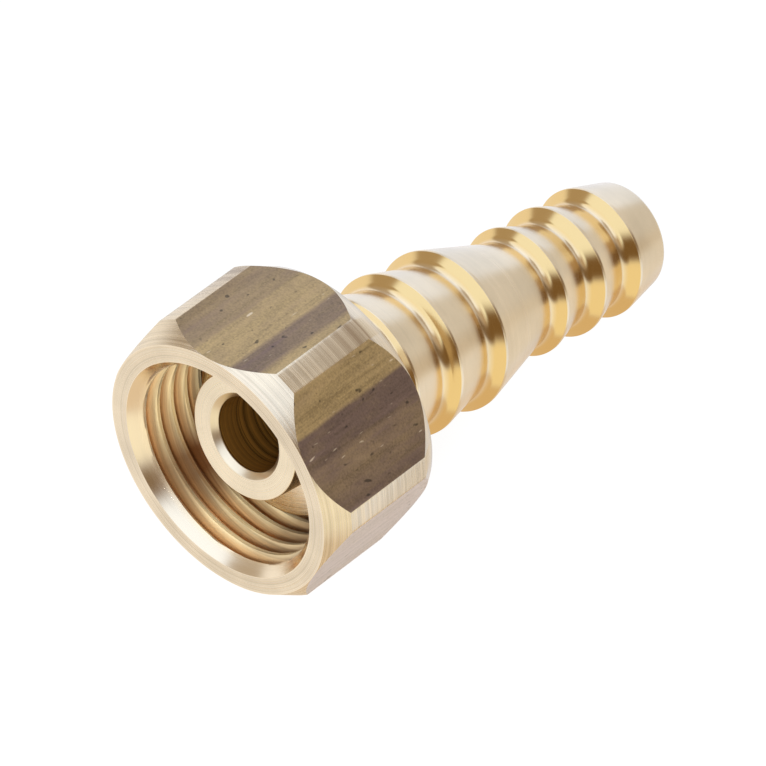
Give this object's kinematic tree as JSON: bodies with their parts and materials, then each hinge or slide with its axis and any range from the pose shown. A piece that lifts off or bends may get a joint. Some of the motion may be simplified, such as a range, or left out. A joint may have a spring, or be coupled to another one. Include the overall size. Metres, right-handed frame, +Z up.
{
  "type": "hose barb tail with union nut",
  "caption": "Straight brass hose tail with two sizes of barbs, a flat seal nose and a loose hexagon union nut with an internal pipe thread.",
  "frame": {"origin": "centre of the bounding box on the plane that the part rests on", "axes": "+Y along the nut's axis from its mouth towards the barbed end, +Z up, the nut lying on one of its flats; X = 0 is the mirror plane"},
  "size_m": [0.021, 0.0412, 0.019],
  "materials": {
    "tail_brass": "bright turned",
    "nut_brass": "drawn hexagon bar with tarnished flats and bright turned ends"
  },
  "bodies": {
    "tail": {"hose_tail": "tail_brass"},
    "nut": {"union_nut": "nut_brass"}
  },
  "joints": [
    {"name": "nut_swivel", "type": "hinge", "parent": "tail", "child": "nut", "pos_m": [0, -0.0206, 0.0095], "axis": [0, 1, 0], "continuous": true}
  ]
}
